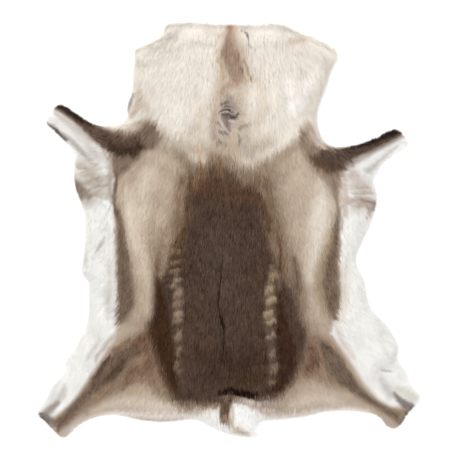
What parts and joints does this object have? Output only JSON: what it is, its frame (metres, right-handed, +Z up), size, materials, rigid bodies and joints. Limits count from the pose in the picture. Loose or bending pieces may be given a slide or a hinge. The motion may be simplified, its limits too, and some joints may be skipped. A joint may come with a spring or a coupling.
{
  "type": "reindeer hide",
  "caption": "Whole reindeer hide with its hair on, laid flat hair side up, with neck, legs and tail spread at the corners and ends of a lumpy, soft-edged sheet.",
  "frame": {"origin": "on the floor, below the middle of the hide's box", "axes": "+Z up out of the coat, +Y towards the neck, -Y towards the tail, +X to the right in a view from above with the neck at the top"},
  "size_m": [1.1658, 1.2602, 0.0362],
  "materials": {
    "coat": "dense dry hair, matt, dark brown along the back, fawn on the flanks, white at neck and belly",
    "skin": "tanned flesh side, pale, matt and softly napped"
  },
  "bodies": {
    "root": {"hide": "coat"}
  },
  "joints": []
}
